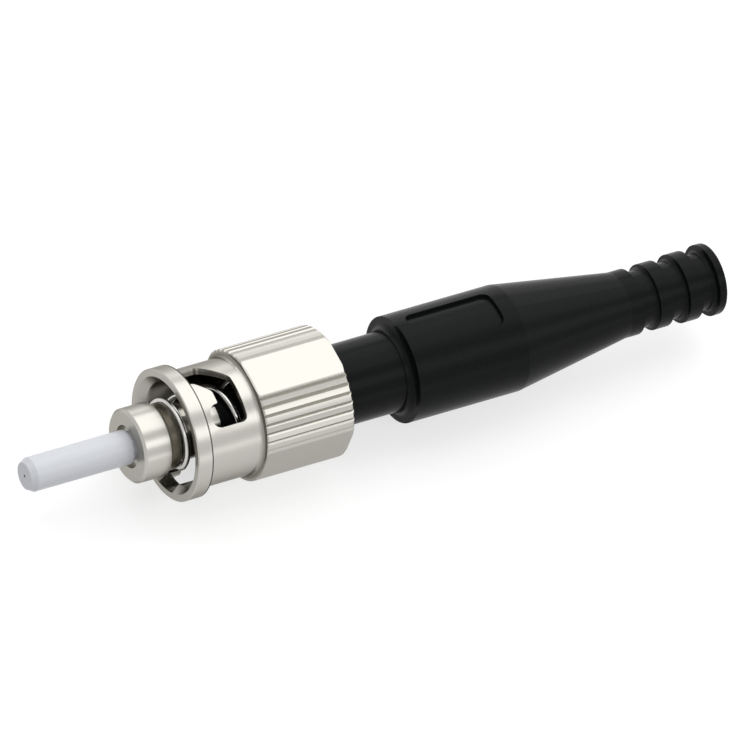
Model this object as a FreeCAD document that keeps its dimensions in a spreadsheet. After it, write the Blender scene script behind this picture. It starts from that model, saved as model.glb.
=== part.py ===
import FreeCAD, Part
import Sketcher
import math
import os

# Fibre optic plug with a bayonet coupling nut and a strain relief boot.
# The plug lies along +X: x = 0 is the end face of the ferrule, the cable
# leaves at the other end, and +Z is up as it lies on a flat of its nut.
# Angles go from +Y towards +Z. Everything is in millimetres and degrees.

Vector = FreeCAD.Vector
Vector2d = FreeCAD.Base.Vector2d

# Driving sizes. Lengths run along the axis, and each one starts where the
# piece in front of it ends, unless its name says otherwise.

FERRULE_SIZES = {
    "ferrule_radius": 1.25,
    "ferrule_face_radius": 1.0,
    "ferrule_chamfer_length": 0.45,
    "ferrule_reach": 8.18,
    "ferrule_seat_depth": 3.0,
    "ferrule_back_chamfer": 0.3,
    "ferrule_root_radius": 1.05,
    "ferrule_root_chamfer": 0.1,
    "fibre_hole_radius": 0.0635,
    "fibre_funnel_radius": 0.45,
    "fibre_funnel_length": 0.9,
}

HOLDER_SIZES = {
    "collar_radius": 2.7,
    "collar_length": 2.08,
    "collar_chamfer": 0.18,
    "collar_recess_radius": 1.56,
    "collar_recess_depth": 0.35,
    "neck_length": 0.72,
    "spring_shoulder_radius": 2.42,
    "spring_shoulder_length": 0.26,
    "shaft_radius": 2.03,
    "shaft_length": 3.44,
    "tail_radius": 1.5,
    "tail_length": 4.2,
    "tail_chamfer": 0.2,
    "key_width": 1.1,
    "key_height": 0.65,
    "key_front_setback": 0.9,
    "key_angle": 272.0,
}

TUBE_SIZES = {
    "tube_radius": 0.85,
    "tube_bore_radius": 0.5,
    "tube_length": 19.5,
}

SPRING_SIZES = {
    "wire_diameter": 0.49,
    "spring_radius": 2.69,
    "spring_gap": 0.02,
    "closed_turns": 0.6,
    "active_turns": 3.14,
    "ground_depth": 0.12,
    "spring_start_angle": 332.0,
    "path_point_count": 16,
}

WASHER_SIZES = {
    "washer_radius": 3.4,
    "washer_thickness": 0.3,
    "washer_clearance": 0.1,
    "washer_play": 0.05,
}

NUT_SIZES = {
    "ring_radius": 4.8,
    "ring_length": 1.18,
    "ring_edge_chamfer": 0.08,
    "nut_neck_radius": 4.25,
    "nut_neck_length": 4.39,
    "nut_fillet": 0.3,
    "mouth_radius": 4.27,
    "mouth_taper_length": 0.6,
    "nut_bore_radius": 3.78,
    "nut_bore_depth": 8.34,
    "web_thickness": 1.4,
    "nut_running_clearance": 0.05,
    "nut_play": 0.05,
    "nut_back_clearance": 0.18,
    "knurl_radius": 4.77,
    "knurl_length": 7.0,
    "knurl_front_chamfer": 0.1,
    "knurl_back_chamfer": 0.15,
    "knurl_groove_depth": 0.15,
    "knurl_groove_angle": 90.0,
    "knurl_groove_step": 7.95,
    "groove_count": 7,
    "flat_count": 4,
    "flat_distance": 4.53,
    "flat_angle": 0.0,
}

# Bayonet slots, as they lie on the neck of the nut: angles in degrees
# round the axis, distances in millimetres behind the back of the ring.
SLOT_SIZES = {
    "slot_count": 2,
    "entry_angle": 49.0,
    "entry_width_angle": 25.5,
    "entry_depth": 4.265,
    "ramp_front": 0.52,
    "ramp_back": 1.69,
    "ramp_front_angle": 14.3,
    "ramp_back_angle": 29.5,
    "lock_front": 1.47,
    "lock_back": 3.32,
    "lock_end_angle": 77.1,
    "detent_front": 0.68,
    "detent_angle": 23.6,
    "slot_corner_radius": 0.4,
    "detent_corner_radius": 0.65,
    "detent_lip_radius": 0.13,
    "slot_bend_radius": 0.6,
}

BODY_SIZES = {
    "body_radius": 2.925,
    "body_length": 11.35,
    "body_chamfer": 0.2,
    "post_socket_depth": 4.8,
}

POST_SIZES = {
    "post_radius": 1.85,
    "post_land_radius": 2.05,
    "post_land_length": 0.9,
    "post_length": 8.0,
    "post_rib_height": 0.12,
    "post_rib_count": 7,
    "post_rib_land_ratio": 0.4,
}

SLEEVE_SIZES = {
    "sleeve_radius": 2.45,
    "sleeve_front_gap": 0.1,
    "sleeve_length": 8.8,
    "sleeve_chamfer": 0.1,
}

BOOT_SIZES = {
    "boot_overlap": 2.8,
    "boot_wall": 0.955,
    "boot_grip_length": 8.86,
    "boot_cone_length": 9.19,
    "boot_tail_radius": 2.4,
    "boot_lip_length": 0.55,
    "boot_lip_fillet": 0.5,
    "boot_lip_wall": 0.03,
    "boot_fit_gap": 0.02,
    "sleeve_room_behind": 0.3,
    "cable_hole_radius": 1.6,
    "cable_hole_chamfer": 0.25,
    "tail_ring_pitch": 2.35,
    "tail_ring_length": 1.07,
    "tail_end_ring_length": 0.62,
    "tail_end_ring_radius": 2.59,
    "tail_ring_count": 4,
    "tail_groove_radius": 2.06,
    "tail_fillet": 0.28,
    "tail_end_round": 0.15,
    "panel_front": 0.94,
    "panel_length": 6.71,
    "panel_angle": 81.0,
    "panel_half_angle": 23.7,
    "panel_depth": 0.25,
    "panel_corner_radius": 0.6,
}

# How far a cutting tool reaches past the wall that it cuts, so that the
# two never share a face.
CUTTER_SIZES = {
    "cutter_overlap": 0.2,
}

# How close two places have to be to count as one, in mm and in degrees.
SAME_PLACE = 0.001
SAME_ANGLE = 0.01
FULL_TURN = 360.0

ALL_SIZES = [
    FERRULE_SIZES,
    HOLDER_SIZES,
    TUBE_SIZES,
    SPRING_SIZES,
    WASHER_SIZES,
    NUT_SIZES,
    SLOT_SIZES,
    BODY_SIZES,
    POST_SIZES,
    SLEEVE_SIZES,
    BOOT_SIZES,
    CUTTER_SIZES,
]


class Length:
    """A number with the spreadsheet formula that gives it."""

    def __init__(self, value, formula):
        self.value = value
        self.formula = formula

    def __add__(self, other):
        return combine(self, "+", other)

    def __sub__(self, other):
        return combine(self, "-", other)

    def __mul__(self, other):
        return combine(self, "*", other)


def combine(first, sign, second):
    """Join two lengths, or a length and a plain number, with + - or *."""
    if not isinstance(second, Length):
        second = Length(second, str(second))
    results = {
        "+": first.value + second.value,
        "-": first.value - second.value,
        "*": first.value * second.value,
    }
    return Length(results[sign], f"({first.formula} {sign} {second.formula})")


doc = FreeCAD.newDocument("bayonet_plug")
sheet = doc.addObject("Spreadsheet::Sheet", "Sizes")
all_values = {}
row = 1
for group in ALL_SIZES:
    for name, value in group.items():
        sheet.set(f"A{row}", name)
        sheet.set(f"B{row}", str(value))
        sheet.setAlias(f"B{row}", name)
        all_values[name] = value
        row += 1
doc.recompute()


def size(name):
    """The driving size of that name, tied to its cell."""
    return Length(all_values[name], f"Sizes.{name}")


def number(name):
    """The plain number in the cell of that name."""
    return all_values[name]


def bind(target, property_name, length):
    """Tie a property of a document object to the sheet."""
    target.setExpression(property_name, length.formula)


# Stations along the axis.
collar_front = size("ferrule_reach")
recess_floor = collar_front + size("collar_recess_depth")
collar_back = collar_front + size("collar_length")
shoulder_front = collar_back + size("neck_length")
shoulder_back = shoulder_front + size("spring_shoulder_length")
shaft_back = shoulder_back + size("shaft_length")
tail_back = shaft_back + size("tail_length")
ferrule_back = collar_front + size("ferrule_seat_depth")

nut_front = shoulder_back
ring_back = nut_front + size("ring_length")
knurl_front = ring_back + size("nut_neck_length")
knurl_back = knurl_front + size("knurl_length")
web_front = nut_front + size("nut_bore_depth")
web_back = web_front + size("web_thickness")
washer_back = web_front - size("washer_play")
washer_front = washer_back - size("washer_thickness")

body_shoulder = web_back + size("nut_play")
body_back = body_shoulder + size("body_length")
post_front = body_back - size("post_socket_depth")
post_land_back = body_back + size("post_land_length")
post_back = body_back + size("post_length")
sleeve_front = body_back + size("sleeve_front_gap")
sleeve_back = sleeve_front + size("sleeve_length")

boot_radius = size("body_radius") + size("boot_wall")
boot_front = body_back - size("boot_overlap")
boot_lip_front = boot_front - size("boot_lip_length")
cone_front = boot_front + size("boot_grip_length")
cone_back = cone_front + size("boot_cone_length")


# Sketches and features

def new_body(label):
    """An empty body that will hold one piece."""
    body = doc.addObject("PartDesign::Body", label)
    body.Label = label
    return body


def new_sketch(body, role, label):
    """A sketch on one of the body's own origin planes."""
    sketch = body.newObject("Sketcher::SketchObject", label)
    for plane in body.Origin.OriginFeatures:
        if plane.Role == role:
            sketch.AttachmentSupport = [(plane, "")]
    sketch.MapMode = "FlatFace"
    return sketch


def pin_down(sketch, line, across, up):
    """Fix the first point of a line at a place given by the sheet."""
    for kind, length, axis in (("DistanceX", across, -2), ("DistanceY", up, -1)):
        if length is None:
            sketch.addConstraint(Sketcher.Constraint("PointOnObject", line, 1, axis))
            continue
        rule = Sketcher.Constraint(kind, -1, 1, line, 1, length.value)
        index = sketch.addConstraint(rule)
        bind(sketch, f"Constraints[{index}]", length)


def draw_outline(sketch, corners):
    """A closed outline whose corners all come from the sheet."""
    places = []
    for across, up in corners:
        x_place = 0.0 if across is None else across.value
        y_place = 0.0 if up is None else up.value
        places.append(Vector(x_place, y_place, 0))
    count = len(corners)
    for index in range(count):
        following = places[(index + 1) % count]
        sketch.addGeometry(Part.LineSegment(places[index], following), False)
    for index in range(count):
        joint = Sketcher.Constraint("Coincident", index, 2, (index + 1) % count, 1)
        sketch.addConstraint(joint)
    for index, (across, up) in enumerate(corners):
        pin_down(sketch, index, across, up)


def turned_body(label, corners):
    """A piece turned on a lathe: (station, radius) corners round +X."""
    body = new_body(label)
    sketch = new_sketch(body, "XZ_Plane", label + "_profile")
    draw_outline(sketch, corners)
    turning = body.newObject("PartDesign::Revolution", label + "_turning")
    turning.Profile = sketch
    turning.ReferenceAxis = (sketch, ["H_Axis"])
    turning.Angle = FULL_TURN
    doc.recompute()
    return body


def rim_names(shape, station, radius):
    """Names of the round edges at one station and radius."""
    names = []
    for index, edge in enumerate(shape.Edges):
        if edge.Curve.TypeId != "Part::GeomCircle":
            continue
        same_station = abs(edge.Curve.Center.x - station.value) < SAME_PLACE
        if same_station and abs(edge.Curve.Radius - radius.value) < SAME_PLACE:
            names.append(f"Edge{index + 1}")
    return names


def round_rims(body, label, rims, radius):
    """Fillet the round edges given as (station, radius) pairs."""
    base = body.Tip
    names = []
    for station, rim_radius in rims:
        names += rim_names(base.Shape, station, rim_radius)
    fillet = body.newObject("PartDesign::Fillet", label)
    fillet.Base = (base, names)
    fillet.Radius = radius.value
    bind(fillet, "Radius", radius)
    doc.recompute()
    return fillet


# Shapes wrapped round the axis

LYING_DOWN = FreeCAD.Placement(Vector(0, 0, 0), FreeCAD.Rotation(Vector(1, 1, 1), 120))


def wrapped_edges(cylinder, corners):
    """Edges on a cylinder between (angle in degrees, station) corners."""
    flat = [Vector2d(math.radians(angle), station) for angle, station in corners]
    edges = []
    for index, point in enumerate(flat):
        segment = Part.Geom2d.Line2dSegment(point, flat[(index + 1) % len(flat)])
        edges.append(segment.toShape(cylinder))
    return edges


def wrapped_block(corners, inner_radius, outer_radius):
    """A block between two radii whose outline is wrapped round +Z."""
    rings = []
    faces = []
    for radius in (inner_radius, outer_radius):
        cylinder = Part.Cylinder()
        cylinder.Radius = radius
        edges = wrapped_edges(cylinder, corners)
        rings.append(edges)
        faces.append(Part.Face(cylinder, Part.Wire(edges)))
    for inner_edge, outer_edge in zip(*rings):
        faces.append(Part.makeRuledSurface(outer_edge, inner_edge))
    shell = Part.makeShell(faces)
    shell.sewShape()
    block = Part.makeSolid(shell)
    if block.Volume < 0:
        block.reverse()
    return block


def corner_edge(block, angle, station):
    """The radial edge of a wrapped block at one corner."""
    for edge in block.Edges:
        start, *others = [vertex.Point for vertex in edge.Vertexes]
        if not others:
            continue
        end = others[0]
        turned = math.degrees(math.atan2(start.y, start.x)) - angle
        off = (turned + FULL_TURN / 2.0) % FULL_TURN - FULL_TURN / 2.0
        level = max(abs(start.z - station), abs(end.z - station))
        radial = abs(math.hypot(start.x, start.y) - math.hypot(end.x, end.y)) > SAME_PLACE
        if radial and abs(off) < SAME_ANGLE and level < SAME_PLACE:
            return edge
    raise RuntimeError(f"no corner at {angle} degrees, {station} mm")


def round_corners(block, rounded):
    """Round the corners given as (angle, station, radius)."""
    for angle, station, radius in rounded:
        block = block.makeFillet(radius, [corner_edge(block, angle, station)])
    return block


def lay_down(shape):
    """Turn a shape made round +Z so that it lies round +X."""
    shape.transformShape(LYING_DOWN.toMatrix())
    return shape


def plain_feature(label, shape):
    """A document object for a shape made in code."""
    feature = doc.addObject("Part::Feature", label)
    feature.Label = label
    feature.Shape = shape
    feature.Placement = FreeCAD.Placement()
    return feature


def cut_object(label, base, tool):
    """The base piece less the tool."""
    cut = doc.addObject("Part::Cut", label)
    cut.Label = label
    cut.Base = base
    cut.Tool = tool
    cut.Placement = FreeCAD.Placement()
    doc.recompute()
    if cut.Shape.Volume >= base.Shape.Volume:
        raise RuntimeError(label + " lost nothing to its tool")
    return cut


# Pieces

def make_ferrule():
    """Ceramic pin with a chamfered nose, a stepped root and a fibre hole."""
    radius = size("ferrule_radius")
    root = size("ferrule_root_radius")
    hole = size("fibre_hole_radius")
    funnel_start = ferrule_back - size("fibre_funnel_length")
    back_chamfer = size("ferrule_back_chamfer")
    return turned_body("ferrule", [
        (None, hole),
        (None, size("ferrule_face_radius")),
        (size("ferrule_chamfer_length"), radius),
        (collar_front - size("ferrule_root_chamfer"), radius),
        (collar_front, root),
        (ferrule_back - back_chamfer, root),
        (ferrule_back, root - back_chamfer),
        (ferrule_back, size("fibre_funnel_radius")),
        (funnel_start, hole),
    ])


def make_ferrule_holder():
    """Turned metal holder with its collar, spring shoulder, tail and key."""
    chamfer = size("collar_chamfer")
    tail_chamfer = size("tail_chamfer")
    body = turned_body("holder_turning", [
        (collar_front, size("collar_recess_radius")),
        (collar_front, size("collar_radius") - chamfer),
        (collar_front + chamfer, size("collar_radius")),
        (collar_back, size("collar_radius")),
        (collar_back, size("shaft_radius")),
        (shoulder_front, size("shaft_radius")),
        (shoulder_front, size("spring_shoulder_radius")),
        (shoulder_back, size("spring_shoulder_radius")),
        (shoulder_back, size("shaft_radius")),
        (shaft_back, size("shaft_radius")),
        (shaft_back, size("tail_radius")),
        (tail_back - tail_chamfer, size("tail_radius")),
        (tail_back, size("tail_radius") - tail_chamfer),
        (tail_back, size("tube_radius")),
        (ferrule_back, size("tube_radius")),
        (ferrule_back, size("ferrule_root_radius")),
        (recess_floor, size("ferrule_root_radius")),
        (recess_floor, size("collar_recess_radius")),
    ])
    key = doc.addObject("Part::Box", "key_block")
    key.Label = "key_block"
    key_front = collar_front + size("key_front_setback")
    key_length = shoulder_back - key_front
    key_foot = (size("tube_radius") + size("shaft_radius")) * 0.5
    key_reach = size("collar_radius") + size("key_height") - key_foot
    bind(key, "Length", key_length)
    bind(key, "Width", size("key_width"))
    bind(key, "Height", key_reach)
    half_width = number("key_width") / 2.0
    turn = FreeCAD.Rotation(Vector(1, 0, 0), number("key_angle") - 90.0)
    corner = turn.multVec(Vector(key_front.value, -half_width, key_foot.value))
    key.Placement = FreeCAD.Placement(corner, turn)
    bind(key, ".Placement.Base.x", key_front)
    holder = doc.addObject("Part::Fuse", "ferrule_holder")
    holder.Base = body
    holder.Tool = key
    doc.recompute()
    return holder


def make_guide_tube():
    """Plastic tube that leads the fibre from the cable to the ferrule."""
    back = ferrule_back + size("tube_length")
    return turned_body("guide_tube", [
        (ferrule_back, size("tube_bore_radius")),
        (ferrule_back, size("tube_radius")),
        (back, size("tube_radius")),
        (back, size("tube_bore_radius")),
    ])


def spring_station(turns, front, pitch):
    """Where the wire's centre is after so many turns."""
    wire = number("wire_diameter")
    closed = number("closed_turns")
    active = number("active_turns")
    first = min(turns, closed)
    middle = min(max(turns - closed, 0.0), active)
    last = max(turns - closed - active, 0.0)
    return front + number("ground_depth") + (first + last) * wire + middle * pitch


def make_spring():
    """Compression spring, right handed, with closed and ground ends."""
    wire = number("wire_diameter")
    mean_radius = number("spring_radius") - wire / 2.0
    front = shoulder_back.value + number("spring_gap")
    back = washer_front.value - number("spring_gap")
    ground = number("ground_depth")
    closed_rise = 2.0 * number("closed_turns") * wire
    pitch = (back - front - 2.0 * ground - closed_rise) / number("active_turns")
    turns = 2.0 * number("closed_turns") + number("active_turns")
    steps = int(turns * number("path_point_count"))
    path = []
    for step in range(steps + 1):
        turned = turns * step / steps
        angle = math.radians(number("spring_start_angle") + FULL_TURN * turned)
        station = spring_station(turned, front, pitch)
        across = mean_radius * math.cos(angle)
        up = mean_radius * math.sin(angle)
        path.append(Vector(station, across, up))
    curve = Part.BSplineCurve()
    curve.interpolate(path)
    heading = curve.tangent(curve.FirstParameter)[0]
    section = Part.Wire(Part.makeCircle(wire / 2.0, path[0], heading))
    coil = Part.Wire(curve.toShape()).makePipeShell([section], True, True)
    room_radius = number("spring_radius") + number("cutter_overlap")
    room = Part.makeCylinder(room_radius, back - front)
    room.translate(Vector(0, 0, front))
    return plain_feature("coupling_spring", coil.common(lay_down(room)).Solids[0])


def make_thrust_washer():
    """Flat washer that lets the nut turn without winding the spring."""
    hole = size("shaft_radius") + size("washer_clearance")
    return turned_body("thrust_washer", [
        (washer_front, hole),
        (washer_front, size("washer_radius")),
        (washer_back, size("washer_radius")),
        (washer_back, hole),
    ])


def make_nut_blank():
    """The coupling nut as turned, before its slots are milled."""
    edge = size("ring_edge_chamfer")
    front_chamfer = size("knurl_front_chamfer")
    back_chamfer = size("knurl_back_chamfer")
    web_hole = size("shaft_radius") + size("nut_running_clearance")
    back_room = size("body_radius") + size("nut_back_clearance")
    body = turned_body("nut_blank", [
        (nut_front, size("mouth_radius")),
        (nut_front, size("ring_radius") - edge),
        (nut_front + edge, size("ring_radius")),
        (ring_back, size("ring_radius")),
        (ring_back, size("nut_neck_radius")),
        (knurl_front, size("nut_neck_radius")),
        (knurl_front, size("knurl_radius") - front_chamfer),
        (knurl_front + front_chamfer, size("knurl_radius")),
        (knurl_back - back_chamfer, size("knurl_radius")),
        (knurl_back, size("knurl_radius") - back_chamfer),
        (knurl_back, back_room),
        (web_back, back_room),
        (web_back, web_hole),
        (web_front, web_hole),
        (web_front, size("nut_bore_radius")),
        (nut_front + size("mouth_taper_length"), size("nut_bore_radius")),
    ])
    neck = size("nut_neck_radius")
    round_rims(body, "neck_fillets", [(ring_back, neck), (knurl_front, neck)], size("nut_fillet"))
    return body


def make_coupling_nut():
    """Knurled bayonet nut: turned, flatted, grooved and slotted."""
    body = make_nut_blank()
    tools = [lay_down(flat_cutter(index)) for index in range(number("flat_count"))]
    tools += groove_cutters()
    tools += slot_cutters()
    cutters = plain_feature("nut_cutters", Part.makeCompound(tools))
    return cut_object("coupling_nut", body, cutters)


def flat_cutter(index):
    """A block that leaves one flat on the knurled part."""
    radius = number("knurl_radius")
    flat = Part.makeBox(radius, 2.0 * radius, number("knurl_length"))
    flat.translate(Vector(number("flat_distance"), -radius, knurl_front.value))
    turn = number("flat_angle") + FULL_TURN * index / number("flat_count")
    flat.rotate(Vector(0, 0, 0), Vector(0, 0, 1), turn)
    return flat


def groove_cutters():
    """Straight V grooves, one group in the middle between two flats."""
    bottom = number("knurl_radius") - number("knurl_groove_depth")
    top = number("knurl_radius") + number("cutter_overlap")
    half_width = (top - bottom) * math.tan(math.radians(number("knurl_groove_angle") / 2.0))
    wedge = Part.makePolygon([
        Vector(bottom, 0, knurl_front.value),
        Vector(top, half_width, knurl_front.value),
        Vector(top, -half_width, knurl_front.value),
        Vector(bottom, 0, knurl_front.value),
    ])
    groove = Part.Face(wedge).extrude(Vector(0, 0, number("knurl_length")))
    flats = number("flat_count")
    grooves = number("groove_count")
    cutters = []
    for group in range(flats):
        middle = number("flat_angle") + FULL_TURN * (group + 0.5) / flats
        for index in range(grooves):
            angle = middle + (index - (grooves - 1) / 2.0) * number("knurl_groove_step")
            cutter = groove.copy()
            cutter.rotate(Vector(0, 0, 0), Vector(0, 0, 1), angle)
            cutters.append(lay_down(cutter))
    return cutters


def slot_outline(start):
    """Corners of one bayonet slot behind the ring, and their rounding."""
    base = ring_back.value
    entry_end = start + number("entry_width_angle")
    lock_end = start + number("lock_end_angle")
    detent_start = lock_end - number("detent_angle")
    lock_front = base + number("lock_front")
    lock_back = base + number("lock_back")
    detent_front = base + number("detent_front")
    ramp_front = (entry_end, base + number("ramp_front"))
    ramp_back = (start, base + number("ramp_back"))
    front_bend = (entry_end + number("ramp_front_angle"), lock_front)
    back_bend = (start + number("ramp_back_angle"), lock_back)
    ring_middle = base - number("ring_length") / 2.0
    corners = [
        (start, ring_middle),
        (entry_end, ring_middle),
        ramp_front,
        front_bend,
        (detent_start, lock_front),
        (detent_start, detent_front),
        (lock_end, detent_front),
        (lock_end, lock_back),
        back_bend,
        ramp_back,
    ]
    corner = number("slot_corner_radius")
    bend = number("slot_bend_radius")
    detent = number("detent_corner_radius")
    rounded = [
        (*ramp_front, corner),
        (*front_bend, bend),
        (detent_start, lock_front, number("detent_lip_radius")),
        (detent_start, detent_front, detent),
        (lock_end, detent_front, detent),
        (lock_end, lock_back, corner),
        (*back_bend, bend),
        (*ramp_back, bend),
    ]
    return corners, rounded


def slot_cutters():
    """The groove under the ring and the slot through the neck, twice."""
    overlap = number("cutter_overlap")
    inner = number("nut_bore_radius") - overlap
    outer = number("nut_neck_radius") + number("nut_fillet") + overlap
    entry_front = nut_front.value - overlap
    entry_back = ring_back.value + number("ramp_front")
    cutters = []
    for index in range(number("slot_count")):
        start = number("entry_angle") + FULL_TURN * index / number("slot_count")
        corners, rounded = slot_outline(start)
        slot = round_corners(wrapped_block(corners, inner, outer), rounded)
        neck = Part.makeCylinder(outer + overlap, number("nut_neck_length"))
        neck.translate(Vector(0, 0, ring_back.value))
        cutters.append(lay_down(slot.common(neck)))
        end = start + number("entry_width_angle")
        entry = [(start, entry_front), (end, entry_front), (end, entry_back), (start, entry_back)]
        cutters.append(lay_down(wrapped_block(entry, inner, number("entry_depth"))))
    return cutters


def make_rear_body():
    """Black plastic body that the holder's tail and the crimp post fill."""
    chamfer = size("body_chamfer")
    return turned_body("rear_body", [
        (shaft_back, size("tail_radius")),
        (shaft_back, size("shaft_radius")),
        (body_shoulder, size("shaft_radius")),
        (body_shoulder, size("body_radius") - chamfer),
        (body_shoulder + chamfer, size("body_radius")),
        (body_back - chamfer, size("body_radius")),
        (body_back, size("body_radius") - chamfer),
        (body_back, size("post_radius")),
        (post_front, size("post_radius")),
        (post_front, size("tube_radius")),
        (tail_back, size("tube_radius")),
        (tail_back, size("tail_radius")),
    ])


def make_crimp_post():
    """Metal post with grip ribs, pressed into the back of the body."""
    root = size("post_radius") - size("post_rib_height")
    crest = size("post_radius")
    ribs = number("post_rib_count")
    rib_step = (size("post_length") - size("post_land_length")) * (1.0 / ribs)
    corners = [
        (post_front, size("tube_radius")),
        (post_front, size("post_radius")),
        (body_back, size("post_radius")),
        (body_back, size("post_land_radius")),
        (post_land_back, size("post_land_radius")),
        (post_land_back, root),
    ]
    for index in range(ribs):
        rib_back = post_land_back + rib_step * (index + 1.0)
        corners.append((rib_back - rib_step * number("post_rib_land_ratio"), crest))
        corners.append((rib_back, root))
    corners.append((post_back, size("tube_radius")))
    return turned_body("crimp_post", corners)


def make_crimp_sleeve():
    """Thin metal sleeve that grips the cable's strength yarns."""
    chamfer = size("sleeve_chamfer")
    inner = size("post_land_radius")
    outer = size("sleeve_radius")
    return turned_body("crimp_sleeve", [
        (sleeve_front, inner),
        (sleeve_front, outer - chamfer),
        (sleeve_front + chamfer, outer),
        (sleeve_back - chamfer, outer),
        (sleeve_back, outer - chamfer),
        (sleeve_back, inner),
    ])


def boot_profile():
    """Outline of the boot, and the corners under its tail rings."""
    hole = size("cable_hole_radius")
    body_seat = size("body_radius") + size("boot_fit_gap")
    sleeve_seat = size("sleeve_radius") + size("boot_fit_gap")
    room_back = sleeve_back + size("sleeve_room_behind")
    lip = body_seat + size("boot_lip_wall")
    corners = [
        (body_back, body_seat),
        (boot_lip_front, body_seat),
        (boot_lip_front, lip),
        (boot_front, lip),
        (boot_front, boot_radius),
        (cone_front, boot_radius),
        (cone_back, size("boot_tail_radius")),
    ]
    roots = []
    count = number("tail_ring_count")
    ring_grow = (size("tail_end_ring_radius") - size("boot_tail_radius")) * 0.5
    for index in range(count - 1):
        radius = size("boot_tail_radius") + ring_grow * max(index - 1.0, 0.0)
        next_radius = size("boot_tail_radius") + ring_grow * float(index)
        front = cone_back + size("tail_ring_pitch") * float(index)
        back = front + size("tail_ring_length")
        root = cone_back + size("tail_ring_pitch") * (index + 1.0)
        corners.append((back, radius))
        corners.append((back, size("tail_groove_radius")))
        corners.append((root, size("tail_groove_radius")))
        corners.append((root, next_radius))
        roots.append((root, size("tail_groove_radius")))
    end = cone_back + size("tail_ring_pitch") * (count - 1.0) + size("tail_end_ring_length")
    chamfer = size("cable_hole_chamfer")
    corners += [
        (end, size("tail_end_ring_radius")),
        (end, hole + chamfer),
        (end - chamfer, hole),
        (room_back, hole),
        (room_back, sleeve_seat),
        (body_back, sleeve_seat),
    ]
    return corners, roots, end


def make_boot():
    """Rubber boot: grip, cone, four tail rings and a recessed panel."""
    corners, roots, end = boot_profile()
    body = turned_body("boot_moulding", corners)
    lip = size("body_radius") + size("boot_fit_gap") + size("boot_lip_wall")
    round_rims(body, "lip_fillet", [(boot_front, lip)], size("boot_lip_fillet"))
    round_rims(body, "tail_fillets", roots, size("tail_fillet"))
    round_rims(body, "end_round", [(end, size("tail_end_ring_radius"))], size("tail_end_round"))
    panel_front = boot_front.value + number("panel_front")
    panel_back = panel_front + number("panel_length")
    low = number("panel_angle") - number("panel_half_angle")
    high = number("panel_angle") + number("panel_half_angle")
    outline = [(low, panel_front), (high, panel_front), (high, panel_back), (low, panel_back)]
    floor = boot_radius.value - number("panel_depth")
    top = boot_radius.value + number("cutter_overlap")
    block = wrapped_block(outline, floor, top)
    rounding = [(*corner, number("panel_corner_radius")) for corner in outline]
    tool = lay_down(round_corners(block, rounding))
    cutter = plain_feature("panel_cutter", Part.makeCompound([tool]))
    return cut_object("strain_relief_boot", body, cutter)


def write_pieces(pieces):
    """Check every object of the document, then write each piece."""
    doc.recompute()
    for item in doc.Objects:
        for state in item.State:
            if state in ("Invalid", "Error"):
                raise RuntimeError(f"{item.Label} is {state}")
    os.makedirs("parts", exist_ok=True)
    for piece in pieces:
        shape = piece.Shape
        if shape.isNull() or not shape.isValid():
            raise RuntimeError(f"{piece.Label} has no valid shape")
        shape.exportStep(f"parts/{piece.Label}.step")
        print(piece.Label, len(shape.Solids), round(shape.Volume, 3), shape.BoundBox)


write_pieces([
    make_ferrule(),
    make_ferrule_holder(),
    make_guide_tube(),
    make_spring(),
    make_thrust_washer(),
    make_coupling_nut(),
    make_rear_body(),
    make_crimp_post(),
    make_crimp_sleeve(),
    make_boot(),
])
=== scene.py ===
# %% [markdown]
# # A bayonet fibre optic plug
#
# This lesson dresses a fibre optic plug: a ceramic ferrule in a metal holder,
# a knurled coupling nut on a spring, a black plastic body and a rubber boot.
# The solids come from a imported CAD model, so every size here is a real one in
# metres. The plug lies along X: the ferrule's tip is at zero, and the cable
# end of the boot is at the other end. Z is up.

# %% Load the frame
import math

import bmesh
import bpy
from mathutils import Matrix, Vector


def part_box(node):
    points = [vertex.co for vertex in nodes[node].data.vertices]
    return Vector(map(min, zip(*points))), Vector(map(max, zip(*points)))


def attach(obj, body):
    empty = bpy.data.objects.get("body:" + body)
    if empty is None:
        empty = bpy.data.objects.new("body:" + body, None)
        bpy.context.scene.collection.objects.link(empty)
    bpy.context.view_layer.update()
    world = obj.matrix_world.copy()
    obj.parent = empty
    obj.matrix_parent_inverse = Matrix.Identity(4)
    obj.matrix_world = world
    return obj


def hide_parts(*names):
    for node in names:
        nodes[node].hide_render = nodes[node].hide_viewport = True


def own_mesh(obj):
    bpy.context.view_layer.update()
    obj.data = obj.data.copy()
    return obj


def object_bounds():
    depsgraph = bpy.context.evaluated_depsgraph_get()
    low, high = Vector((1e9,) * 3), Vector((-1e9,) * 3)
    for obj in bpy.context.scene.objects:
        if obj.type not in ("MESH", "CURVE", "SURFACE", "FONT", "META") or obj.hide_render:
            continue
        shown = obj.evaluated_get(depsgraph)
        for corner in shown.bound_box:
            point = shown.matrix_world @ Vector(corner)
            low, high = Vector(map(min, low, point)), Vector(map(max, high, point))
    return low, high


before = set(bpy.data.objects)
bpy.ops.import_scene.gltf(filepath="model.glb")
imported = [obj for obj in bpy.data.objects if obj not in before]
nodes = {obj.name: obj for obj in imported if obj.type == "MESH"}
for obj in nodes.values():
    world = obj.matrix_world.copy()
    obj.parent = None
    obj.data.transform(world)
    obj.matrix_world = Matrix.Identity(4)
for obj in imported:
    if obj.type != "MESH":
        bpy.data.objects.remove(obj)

MM = 0.001
cad_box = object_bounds()
print("CAD nodes:", sorted(nodes))
print("CAD box:", cad_box)

# %% [markdown]
# ## Helpers for the finishes
#
# Every finish is a Principled shader with a small node tree in front of it.
# Real surfaces are never perfectly even: a plated part shows fine turning
# marks, and a moulded one a dull grain. Painted images could show that, but
# they need files and an unwrapped mesh. Procedural textures need neither, and
# on Object coordinates they stay put when a piece moves.

# %% A new material and its nodes


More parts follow.
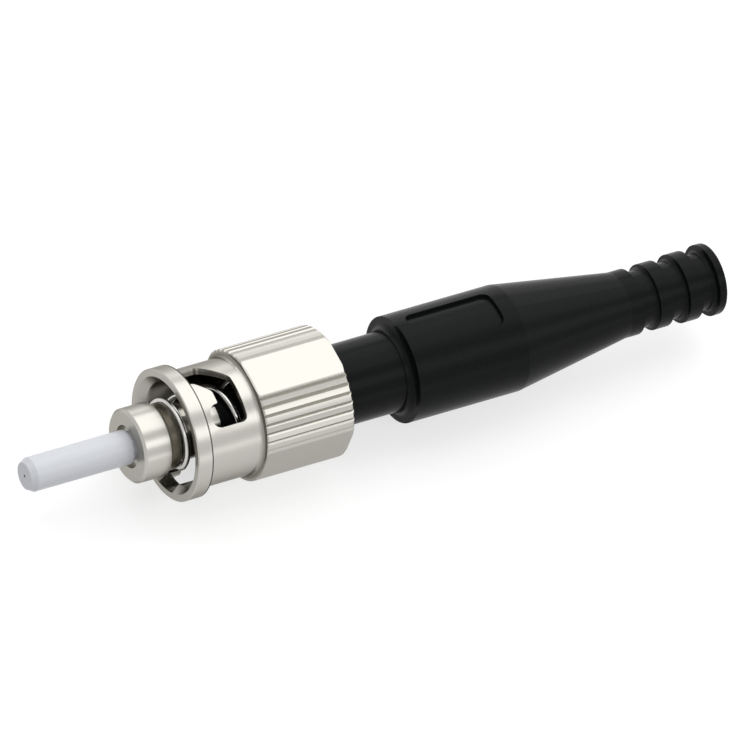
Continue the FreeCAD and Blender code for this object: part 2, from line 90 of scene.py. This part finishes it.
def new_finish(name, color, metallic, roughness):
    """A material with a Principled shader and its plain values."""
    finish = bpy.data.materials.new(name)
    finish.use_nodes = True
    shader = finish.node_tree.nodes["Principled BSDF"]
    shader.inputs["Base Color"].default_value = (*color, 1.0)
    shader.inputs["Metallic"].default_value = metallic
    shader.inputs["Roughness"].default_value = roughness
    return finish, shader


def add_node(finish, kind, values=()):
    """A node of that kind with its input values set by name or number."""
    node = finish.node_tree.nodes.new(kind)
    for socket, value in dict(values).items():
        node.inputs[socket].default_value = value
    return node


def join(finish, source, target):
    """A link between two sockets."""
    finish.node_tree.links.new(source, target)


print("Material helpers ready")

# %% A texture and what it can move


def stretched_place(finish, scale):
    """Object coordinates in millimetres, stretched along each axis."""
    place = add_node(finish, "ShaderNodeTexCoord")
    stretch = add_node(finish, "ShaderNodeMapping", {"Scale": [value / MM for value in scale]})
    join(finish, place.outputs["Object"], stretch.inputs["Vector"])
    return stretch.outputs["Vector"]


def fine_noise(finish, per_mm, detail):
    """A noise on the piece, with so many grains in a millimetre along each axis."""
    noise = add_node(finish, "ShaderNodeTexNoise", {"Scale": 1.0, "Detail": detail})
    join(finish, stretched_place(finish, per_mm), noise.inputs["Vector"])
    return noise.outputs["Fac"]


def uneven_roughness(finish, shader, factor, middle, spread):
    """Let a texture's factor move the roughness up and down by the spread."""
    ends = {"To Min": middle - spread, "To Max": middle + spread}
    moved = add_node(finish, "ShaderNodeMapRange", ends)
    join(finish, factor, moved.inputs["Value"])
    join(finish, moved.outputs["Result"], shader.inputs["Roughness"])


def blended_color(finish, shader, factor, first, second):
    """Let a texture's factor mix two colours."""
    ramp = add_node(finish, "ShaderNodeValToRGB")
    ramp.color_ramp.elements[0].color = (*first, 1.0)
    ramp.color_ramp.elements[1].color = (*second, 1.0)
    join(finish, factor, ramp.inputs["Fac"])
    join(finish, ramp.outputs["Color"], shader.inputs["Base Color"])


def add_bump(finish, shader, height, strength, distance):
    """Shallow relief from a texture's height."""
    bump = add_node(finish, "ShaderNodeBump", {"Strength": strength, "Distance": distance})
    join(finish, height, bump.inputs["Height"])
    join(finish, bump.outputs["Normal"], shader.inputs["Normal"])


print("Texture helpers ready")

# %% [markdown]
# Some finishes change from place to place on one piece: painted shade makes
# the bore of the nut deeper, and painted dark lines stand for the shade in
# sharp corners. Such a place is told by how far a point lies along the plug
# and how far from its axis. A limit of the zone turns one of these two
# numbers into a factor that rises from zero to one over a short fade. The
# fade's two ends are distances from a form of the piece, such as the back of
# a ring, so the zone follows that form. The factors of all limits are
# multiplied, and what they leave is the zone. A second material could do it
# too, but only where the mesh has faces of its own, and with a hard edge.

# %% Zones of a piece


def along_and_out(finish):
    """A point's place along X and its distance from the axis, in millimetres."""
    split = add_node(finish, "ShaderNodeSeparateXYZ")
    join(finish, stretched_place(finish, (1, 1, 1)), split.inputs["Vector"])
    spoke = add_node(finish, "ShaderNodeVectorMath")
    spoke.operation = "LENGTH"
    join(finish, stretched_place(finish, (0, 1, 1)), spoke.inputs["Vector"])
    return split.outputs["X"], spoke.outputs["Value"]


def rise(finish, value, base, fade):
    """A factor that is zero at the fade's first end and one at its second."""
    start, full = fade
    ends = {"From Min": (base + start) / MM, "From Max": (base + full) / MM}
    limit = add_node(finish, "ShaderNodeMapRange", ends)
    join(finish, value, limit.inputs["Value"])
    return limit.outputs["Result"]


def zone(finish, limits):
    """A factor that is one inside all limits: each a value, its base and its fade."""
    factors = [rise(finish, *limit) for limit in limits]
    product = factors[0]
    for factor in factors[1:]:
        step = add_node(finish, "ShaderNodeMath")
        step.operation = "MULTIPLY"
        join(finish, product, step.inputs[0])
        join(finish, factor, step.inputs[1])
        product = step.outputs["Value"]
    return product


def deepen(finish, shader, factor, color):
    """Let a zone's factor turn the finish's present colour into a deeper one."""
    mix = add_node(finish, "ShaderNodeMix")
    mix.data_type = "RGBA"
    first, second = [socket for socket in mix.inputs if socket.type == "RGBA"]
    mixed = next(socket for socket in mix.outputs if socket.type == "RGBA")
    join(finish, shader.inputs["Base Color"].links[0].from_socket, first)
    second.default_value = (*color, 1.0)
    join(finish, factor, mix.inputs["Factor"])
    join(finish, mixed, shader.inputs["Base Color"])


print("Zone helpers ready")

# %% [markdown]
# ## Satin nickel
#
# The holder, the nut, the crimp post and the sleeve are turned brass with a
# satin nickel plate. A turned surface carries rings round its axis that are
# far too fine to model, so a noise that is squeezed along X and spread across
# Y and Z stands for them: it reads as faint lines round the plug. The
# shader's own anisotropy could do that too, but the noise also varies the
# colour. The plate is a warm off-white metal, and its roughness decides how
# soft the light's reflection is. Seen at a slant the plate turns darker, which
# the specular tint of a metal gives: it makes the edges stand out.

# %% Satin nickel
NICKEL = (0.475, 0.463, 0.428)
NICKEL_WORN = (0.45, 0.438, 0.404)
NICKEL_EDGE = (0.46, 0.45, 0.43)
PER_MM_ROUND_X = 0.05


def satin_nickel(name, roughness, marks_per_mm):
    """Plated metal with fine turning marks round X, and its shader."""
    finish, shader = new_finish(name, NICKEL, metallic=1.0, roughness=roughness)
    shader.inputs["Specular Tint"].default_value = (*NICKEL_EDGE, 1.0)
    marks = fine_noise(finish, per_mm=(marks_per_mm, PER_MM_ROUND_X, PER_MM_ROUND_X), detail=3.0)
    blended_color(finish, shader, marks, NICKEL_WORN, NICKEL)
    uneven_roughness(finish, shader, marks, middle=roughness, spread=0.03)
    add_bump(finish, shader, marks, strength=0.04, distance=0.01 * MM)
    return finish, shader


nut_nickel, nut_shader = satin_nickel("nut_nickel", roughness=0.26, marks_per_mm=9.0)
holder_nickel, holder_shader = satin_nickel("holder_nickel", roughness=0.26, marks_per_mm=12.0)
inner_nickel = satin_nickel("inner_nickel", roughness=0.3, marks_per_mm=6.0)[0]
print("Nickel finishes:", nut_nickel.name, holder_nickel.name, inner_nickel.name)

# %% [markdown]
# The bore and the slots of the nut get a deeper, browner colour than the
# outside: painted shade for the inside of the nut. Two corners of the nut get
# a painted dark line of shade: the rear rim of the ring, and the foot of the
# knurled part. The nut's box and three of its sizes say where they are.

# %% Forms of the nut
RING_LENGTH = 1.18 * MM
KNURL_LENGTH = 7.0 * MM
NECK_RADIUS = 4.25 * MM

nut_low, nut_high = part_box("coupling_nut")
ring_radius = nut_high.z
ring_back = nut_low.x + RING_LENGTH
knurl_front = nut_high.x - KNURL_LENGTH
print(f"Ring ends at {ring_back / MM:.2f} mm, knurl starts at {knurl_front / MM:.2f} mm")

# %% Painted shade in the bore and the slots
NUT_PAINTED_SHADE = (0.19, 0.18, 0.157)
MOUTH_FADE = (0.56 * MM, 0.86 * MM)
BORE_FADE = (-0.01 * MM, -0.25 * MM)

along, out = along_and_out(nut_nickel)
bore_shade_zone = zone(nut_nickel, [(along, nut_low.x, MOUTH_FADE), (out, NECK_RADIUS, BORE_FADE)])
# Painted shade: the inside of the nut turns deeper and browner.
deepen(nut_nickel, nut_shader, bore_shade_zone, NUT_PAINTED_SHADE)
print("Deeper bore on", nut_nickel.name)

# %% Painted shade on the rear rim of the ring
RIM_PAINTED_SHADE = (0.05, 0.046, 0.04)
RIM_FRONT_FADE = (-0.12 * MM, -0.06 * MM)
RIM_BACK_FADE = (0.28 * MM, 0.18 * MM)
RIM_TOP_FADE = (-0.12 * MM, -0.08 * MM)

rim_shade_zone = zone(nut_nickel, [(along, ring_back, RIM_FRONT_FADE), (along, ring_back, RIM_BACK_FADE),
                             (out, ring_radius, RIM_TOP_FADE)])
# Painted shade: a dark line stands for the shade of the ring's rounded rear rim.
deepen(nut_nickel, nut_shader, rim_shade_zone, RIM_PAINTED_SHADE)
print("Dark rim on", nut_nickel.name)

# %% Painted shade at the foot of the knurled part
FOOT_FRONT_FADE = (-0.36 * MM, -0.01 * MM)
FOOT_BACK_FADE = (0.19 * MM, 0.09 * MM)
FOOT_TOP_FADE = (0.5 * MM, 0.15 * MM)
FOOT_BOTTOM_FADE = (-0.15 * MM, -0.05 * MM)

foot_shade_zone = zone(nut_nickel, [(along, knurl_front, FOOT_FRONT_FADE), (along, knurl_front, FOOT_BACK_FADE),
                              (out, NECK_RADIUS, FOOT_TOP_FADE), (out, NECK_RADIUS, FOOT_BOTTOM_FADE)])
# Painted shade: a dark line in the corner at the foot of the knurl, in the colour of the bore's painted
# shade.
deepen(nut_nickel, nut_shader, foot_shade_zone, NUT_PAINTED_SHADE)
print("Deeper foot on", nut_nickel.name)

# %% [markdown]
# The shoulder and the shaft just behind the collar get a little painted
# shade, as far as the open front of the nut lets the eye reach. Further back
# the slots show the shaft, and it is bright.

# %% Painted shade on the shaft behind the collar
SHAFT_PAINTED_SHADE = (0.33, 0.312, 0.272)
COLLAR_LENGTH = 2.08 * MM
COLLAR_RADIUS = 2.7 * MM
COLLAR_BACK_FADE = (-0.06 * MM, 0.04 * MM)
SHAFT_BACK_FADE = (3.34 * MM, 2.54 * MM)
SHAFT_TOP_FADE = (-0.1 * MM, -0.2 * MM)

collar_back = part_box("ferrule_holder")[0].x + COLLAR_LENGTH
along, out = along_and_out(holder_nickel)
shaft_shade_zone = zone(holder_nickel, [(along, collar_back, COLLAR_BACK_FADE),
                                  (along, collar_back, SHAFT_BACK_FADE),
                                  (out, COLLAR_RADIUS, SHAFT_TOP_FADE)])
# Painted shade: the shaft behind the collar turns deeper.
deepen(holder_nickel, holder_shader, shaft_shade_zone, SHAFT_PAINTED_SHADE)
print(f"Deeper shaft on {holder_nickel.name} from {collar_back / MM:.2f} mm")

# %% [markdown]
# ## Ceramic
#
# The ferrule is ground zirconia: almost white, a little cold, dense and
# smooth. A hint of light goes into it, so its shaded side never turns dark.
# The subsurface weight gives that, with a scattering radius of a few tenths
# of a millimetre, and a very fine noise keeps the ground surface alive.

# %% Ground ceramic
CERAMIC = (0.62, 0.635, 0.67)
CERAMIC_SHADE = (0.59, 0.605, 0.645)
CERAMIC_ROUGHNESS = 0.3
CERAMIC_SCATTER = 0.15
SCATTER_RADIUS = 0.4 * MM

ceramic, ceramic_shader = new_finish("ground_ceramic", CERAMIC, metallic=0.0, roughness=CERAMIC_ROUGHNESS)
ceramic_shader.inputs["Subsurface Weight"].default_value = CERAMIC_SCATTER
ceramic_shader.inputs["Subsurface Radius"].default_value = (SCATTER_RADIUS,) * 3
ceramic_shader.inputs["Subsurface Scale"].default_value = 1.0
grain = fine_noise(ceramic, per_mm=(14.0, 2.0, 2.0), detail=2.0)
blended_color(ceramic, ceramic_shader, grain, CERAMIC_SHADE, CERAMIC)
uneven_roughness(ceramic, ceramic_shader, grain, middle=CERAMIC_ROUGHNESS, spread=0.04)
print("Ceramic:", ceramic.name)

# %% [markdown]
# The resin that holds the fibre leaves a tiny dark dot in the polished end
# face. It is one more zone: close to the tip, and close to the axis.

# %% The resin in the end face
FIBRE_RESIN = (0.03, 0.03, 0.034)
AXIS = 0.0
RESIN_BACK_FADE = (0.1 * MM, 0.05 * MM)
RESIN_RIM_FADE = (0.12 * MM, 0.1 * MM)

ferrule_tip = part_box("ferrule")[0].x
along, out = along_and_out(ceramic)
resin_zone = zone(ceramic, [(along, ferrule_tip, RESIN_BACK_FADE), (out, AXIS, RESIN_RIM_FADE)])
deepen(ceramic, ceramic_shader, resin_zone, FIBRE_RESIN)
print(f"Resin dot at {ferrule_tip / MM:.2f} mm")

# %% [markdown]
# ## Black plastic and rubber
#
# The body is moulded in hard black plastic and the boot in a softer one. Both
# are nearly black and show mostly the weak, soft reflection of the studio.
# The boot's skin has a fine grain. Its relief is only a few thousandths of a
# millimetre, so it dulls the reflection and doesn't change the outline.

# %% Moulded blacks
BLACK = (0.0037, 0.0041, 0.0043)
BLACK_WORN = (0.0057, 0.0062, 0.0065)
BLACK_SPECULAR = 0.065


def moulded_black(name, roughness, grains_per_mm, relief):
    """Black moulded skin with a fine grain."""
    finish, shader = new_finish(name, BLACK, metallic=0.0, roughness=roughness)
    shader.inputs["Specular IOR Level"].default_value = BLACK_SPECULAR
    grain = fine_noise(finish, per_mm=(grains_per_mm,) * 3, detail=4.0)
    blended_color(finish, shader, grain, BLACK, BLACK_WORN)
    uneven_roughness(finish, shader, grain, middle=roughness, spread=0.04)
    add_bump(finish, shader, grain, strength=0.15, distance=relief)
    return finish


body_black = moulded_black("body_black", roughness=0.24, grains_per_mm=6.0, relief=0.002 * MM)
boot_black = moulded_black("boot_black", roughness=0.27, grains_per_mm=8.0, relief=0.004 * MM)
print("Blacks:", body_black.name, boot_black.name)

# %% [markdown]
# ## Small inner parts
#
# The spring is drawn stainless wire, the washer a stamped steel disc, and the
# tube that leads the fibre is a milky plastic. They are mostly hidden, yet
# the slots of the nut show the spring, and a view into the back of the boot
# shows the sleeve.

# %% Wire, washer and tube
WIRE = (0.60, 0.59, 0.57)
WIRE_SHADE = (0.50, 0.49, 0.47)
STEEL = (0.56, 0.56, 0.56)
STEEL_SHADE = (0.48, 0.48, 0.48)
MILKY = (0.74, 0.74, 0.70)
MILKY_SHADE = (0.68, 0.68, 0.64)


def cloudy_finish(name, color, shade, metallic, roughness, clouds_per_mm):
    """An even finish with a little cloudiness."""
    finish, shader = new_finish(name, color, metallic, roughness)
    clouds = fine_noise(finish, per_mm=(clouds_per_mm,) * 3, detail=2.0)
    blended_color(finish, shader, clouds, shade, color)
    uneven_roughness(finish, shader, clouds, middle=roughness, spread=0.04)
    return finish


wire_steel = cloudy_finish("wire_steel", WIRE, WIRE_SHADE,
                           metallic=1.0, roughness=0.17, clouds_per_mm=5.0)
washer_steel = cloudy_finish("washer_steel", STEEL, STEEL_SHADE,
                             metallic=1.0, roughness=0.32, clouds_per_mm=4.0)
milky_tube = cloudy_finish("milky_tube", MILKY, MILKY_SHADE,
                           metallic=0.0, roughness=0.35, clouds_per_mm=3.0)
print("Inner finishes:", wire_steel.name, washer_steel.name, milky_tube.name)

# %% [markdown]
# ## Put the finishes on the CAD pieces
#
# A CAD node keeps its own mesh and only gets a better material. Its mesh has
# smooth normals already, so a round surface looks round and an edge stays
# crisp.

# %% Dress the CAD nodes
finish_of = {
    "ferrule": ceramic,
    "ferrule_holder": holder_nickel,
    "guide_tube": milky_tube,
    "thrust_washer": washer_steel,
    "coupling_nut": nut_nickel,
    "rear_body": body_black,
    "crimp_post": inner_nickel,
    "crimp_sleeve": inner_nickel,
    "strain_relief_boot": boot_black,
}
for node_name, finish in finish_of.items():
    mesh = nodes[node_name].data
    mesh.materials.clear()
    mesh.materials.append(finish)
print("Dressed", len(finish_of), "nodes")

# %% [markdown]
# ## The coupling spring
#
# The spring pushes the nut back. It is a round wire with closed ends that are
# ground flat. In Blender a helix is a spin with a small step along the axis:
# a ring of wire is swept first with almost no pitch for the closed end, then
# with the open pitch, and again closed. A curve with a bevel could make a wire
# too, but the spin passes from one pitch to the next in the same ring, and its
# mesh can be cut: two cuts across the axis grind the ends. The nut squeezes
# the spring when it slides. This piece stands for the CAD one.

# %% Measure the CAD spring
spring_low, spring_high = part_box("coupling_spring")
spring_length = spring_high.x - spring_low.x
print(f"Spring: {spring_length / MM:.2f} mm long, from {spring_low.x / MM:.2f} mm")

# %% Sizes of the winding
SPRING_RADIUS = 2.69 * MM
WIRE_RADIUS = 0.245 * MM
CLOSED_TURNS = 0.6
ACTIVE_TURNS = 3.14
GROUND_DEPTH = 0.12 * MM
START_ANGLE = math.radians(332.0)
STEPS_PER_TURN = 96
WIRE_SIDES = 28

winding_radius = SPRING_RADIUS - WIRE_RADIUS
closed_pitch = 2 * WIRE_RADIUS
open_length = spring_length - 2 * GROUND_DEPTH - 2 * CLOSED_TURNS * closed_pitch
open_pitch = open_length / ACTIVE_TURNS
print(f"Pitch: {closed_pitch / MM:.2f} mm closed, {open_pitch / MM:.2f} mm open")

# %% Wind the wire


def sweep_wire(mesh, ring, turns, pitch):
    """Sweep a ring of wire round X and return the ring at its end."""
    steps = round(STEPS_PER_TURN * turns)
    along = Vector((pitch * turns / steps, 0, 0))
    swept = bmesh.ops.spin(mesh, geom=ring, cent=(0, 0, 0), axis=(1, 0, 0), dvec=along,
                           angle=2 * math.pi * turns, space=Matrix(), steps=steps)
    return swept["geom_last"]


wire = bmesh.new()
bmesh.ops.create_circle(wire, segments=WIRE_SIDES, radius=WIRE_RADIUS)
move_out = Matrix.Translation((spring_low.x + GROUND_DEPTH, winding_radius, 0))
clock = Matrix.Rotation(START_ANGLE, 4, "X")
bmesh.ops.transform(wire, matrix=clock @ move_out, verts=wire.verts)
ring = list(wire.verts) + list(wire.edges)
ring = sweep_wire(wire, ring, CLOSED_TURNS, closed_pitch)
ring = sweep_wire(wire, ring, ACTIVE_TURNS, open_pitch)
ring = sweep_wire(wire, ring, CLOSED_TURNS, closed_pitch)
print("Wire faces:", len(wire.faces))

# %% Cap the wire and grind its ends
PLANE_TOLERANCE = 1e-7


def fill_openings(mesh):
    """Close every open loop of edges with one face."""
    open_edges = [edge for edge in mesh.edges if edge.is_boundary]
    bmesh.ops.holes_fill(mesh, edges=open_edges, sides=0)


def cut_away(mesh, place, outwards):
    """Cut off what lies beyond a plane and close the cut."""
    everything = list(mesh.verts) + list(mesh.edges) + list(mesh.faces)
    bmesh.ops.bisect_plane(mesh, geom=everything, dist=PLANE_TOLERANCE, plane_co=place,
                           plane_no=outwards, clear_outer=True)
    fill_openings(mesh)


fill_openings(wire)
cut_away(wire, (spring_low.x, 0, 0), (-1, 0, 0))
cut_away(wire, (spring_high.x, 0, 0), (1, 0, 0))
bmesh.ops.recalc_face_normals(wire, faces=wire.faces)
print("Ground spring faces:", len(wire.faces))

# %% [markdown]
# A bmesh becomes a piece once it is an object. Its faces are shaded smooth,
# and every edge with a sharp fold stays crisp, such as the rim of a cut.

# %% Turn a bmesh into a piece
CRISP_FOLD = math.radians(35)


def make_piece(name, mesh, finish, body):
    """An object from a bmesh, with its finish, riding on a CAD body."""
    for face in mesh.faces:
        face.smooth = True
    for edge in mesh.edges:
        edge.smooth = edge.calc_face_angle(0) < CRISP_FOLD
    data = bpy.data.meshes.new(name)
    mesh.to_mesh(data)
    mesh.free()
    data.materials.append(finish)
    piece = bpy.data.objects.new(name, data)
    bpy.context.scene.collection.objects.link(piece)
    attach(piece, body)
    print(f"{name}: {len(data.polygons)} faces on {body}")
    return piece


spring = make_piece("coupling_spring_wire", wire, wire_steel, "plug")
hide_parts("coupling_spring")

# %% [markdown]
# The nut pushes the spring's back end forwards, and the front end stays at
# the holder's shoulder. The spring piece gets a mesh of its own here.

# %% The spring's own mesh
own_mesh(spring)

# %% [markdown]
# ## Camera
#
# The photograph looks down from the front at 30 degrees, with the plug turned
# about its own axis by 28 degrees from where it would lie on a flat of the
# nut. A very long lens far away gives the flat perspective of a product
# picture: lines that run along the plug stay parallel.

# %% Camera
VIEW_TURN = math.radians(-30)
VIEW_ABOVE = math.radians(30)
ROLLED_BACK = math.radians(-28)
PICTURE_SIDE = 750
PIXELS_PER_MM = 14.3
LENS_MM = 1500
SENSOR_MM = 36
AIM_STATION = 28.14 * MM
CLIP_DISTANCES = 4

look = Matrix.Rotation(VIEW_TURN, 4, "Z") @ Matrix.Rotation(math.pi / 2 - VIEW_ABOVE, 4, "X")
view = Matrix.Rotation(ROLLED_BACK, 4, "X") @ look
picture_width = PICTURE_SIDE / PIXELS_PER_MM * MM
distance = picture_width * LENS_MM / SENSOR_MM
aim = Vector((AIM_STATION, 0, 0))

camera_data = bpy.data.cameras.new("camera")
camera_data.lens = LENS_MM
camera_data.sensor_width = SENSOR_MM
camera_data.clip_end = CLIP_DISTANCES * distance
camera = bpy.data.objects.new("camera", camera_data)
camera.matrix_world = Matrix.Translation(aim + view.col[2].to_3d() * distance) @ view
bpy.context.scene.collection.objects.link(camera)
bpy.context.scene.camera = camera
print(f"Camera {distance:.3f} m away")

# %% [markdown]
# ## Floor and background
#
# The plug lies on a plain pale floor. To the camera the floor is white, as in
# the photograph, and only the shadow under the plug darkens it. The metal has
# to show that same background, so the rays of its reflections get the same
# lift. The rays that carry light don't, so the lift lights nothing.

# %% Rays that show the background


def showing_rays(tree):
    """One for a ray of the camera, of a reflection or through glass."""
    rays = tree.nodes.new("ShaderNodeLightPath")
    showing = rays.outputs["Is Camera Ray"]
    for kind in ("Is Glossy Ray", "Is Transmission Ray"):
        either = tree.nodes.new("ShaderNodeMath")
        either.operation = "MAXIMUM"
        tree.links.new(showing, either.inputs[0])
        tree.links.new(rays.outputs[kind], either.inputs[1])
        showing = either.outputs["Value"]
    return showing


print("Background rays ready")

# %% Finish of the floor
FLOOR_PALE = (0.45, 0.45, 0.45)
FLOOR_LIFT = 0.62
WHITE = (1.0, 1.0, 1.0, 1.0)

floor_finish, floor_shader = new_finish("floor_pale", FLOOR_PALE, metallic=0.0, roughness=0.9)
floor_shader.inputs["Specular IOR Level"].default_value = 0.0
lift = add_node(floor_finish, "ShaderNodeMath", {1: FLOOR_LIFT})
lift.operation = "MULTIPLY"
join(floor_finish, showing_rays(floor_finish.node_tree), lift.inputs[0])
floor_shader.inputs["Emission Color"].default_value = WHITE
join(floor_finish, lift.outputs["Value"], floor_shader.inputs["Emission Strength"])
print("Floor finish:", floor_finish.name)

# %% Floor
FLOOR_SIDE = 6.0

ground = bmesh.new()
bmesh.ops.create_grid(ground, x_segments=1, y_segments=1, size=FLOOR_SIDE / 2)
lowest = cad_box[0].z
bmesh.ops.translate(ground, vec=(0, 0, lowest), verts=ground.verts)
floor_mesh = bpy.data.meshes.new("floor")
ground.to_mesh(floor_mesh)
ground.free()
floor_mesh.materials.append(floor_finish)
floor = bpy.data.objects.new("floor", floor_mesh)
bpy.context.scene.collection.objects.link(floor)
print(f"Floor at z = {lowest / MM:.2f} mm")

# %% [markdown]
# ## Light
#
# A satin metal is drawn by what it reflects. On every surface round the axis
# the reflections lie on one cone about X, so a lamp's place is an angle round
# the axis on that cone, where 90 degrees is straight above. A broad soft box
# stands above the plug, and a narrow one towards the camera gives the second
# bright line. Two dimmer cards stand low, one behind the plug and one in
# front of it, and brighten the edges of the round forms. The even world
# between them gives the greys. A picture of a studio in the world could do
# all that, but lamps are easier to move, one bright line at a time.

# %% Soft boxes and cards
LAMP_DISTANCE = 1.2
CONE_ANGLE = math.radians(64.3)


def soft_box(name, around, lean, width, length, level):
    """A rectangular lamp at an angle round X, as bright as its level."""
    turn = math.radians(around)
    tilt = CONE_ANGLE + math.radians(lean)
    towards = Vector((math.cos(tilt), math.sin(tilt) * math.cos(turn), math.sin(tilt) * math.sin(turn)))
    across = Vector((0, -math.sin(turn), math.cos(turn)))
    along = across.cross(towards)
    data = bpy.data.lights.new(name, "AREA")
    data.shape = "RECTANGLE"
    data.size = 2 * LAMP_DISTANCE * math.tan(math.radians(width) / 2)
    data.size_y = 2 * LAMP_DISTANCE * math.tan(math.radians(length) / 2)
    data.energy = level * math.pi * data.size * data.size_y
    lamp = bpy.data.objects.new(name, data)
    place = Matrix((across, along, towards)).transposed().to_4x4()
    place.translation = aim + towards * LAMP_DISTANCE
    lamp.matrix_world = place
    bpy.context.scene.collection.objects.link(lamp)
    print(f"{name}: {data.size:.2f} x {data.size_y:.2f} m, {data.energy:.1f} W")


soft_box("top_soft_box", around=63, lean=10, width=58, length=92, level=1.22)
soft_box("front_soft_box", around=131, lean=10, width=19, length=96, level=1.3)
soft_box("back_card", around=6, lean=0, width=26, length=70, level=0.75)
soft_box("front_card", around=181, lean=0, width=20, length=70, level=0.8)

# %% World
WORLD_LEVEL = 0.56
SHOWN_LEVEL = 1.0

world = bpy.data.worlds.new("studio")
bpy.context.scene.world = world
world.use_nodes = True
backdrop = world.node_tree.nodes["Background"]
level = world.node_tree.nodes.new("ShaderNodeMapRange")
level.inputs["To Min"].default_value = WORLD_LEVEL
level.inputs["To Max"].default_value = SHOWN_LEVEL
world.node_tree.links.new(showing_rays(world.node_tree), level.inputs["Value"])
world.node_tree.links.new(level.outputs["Result"], backdrop.inputs["Strength"])
backdrop.inputs["Color"].default_value = WHITE
bpy.context.scene.view_settings.view_transform = "Standard"
print("World level:", WORLD_LEVEL)
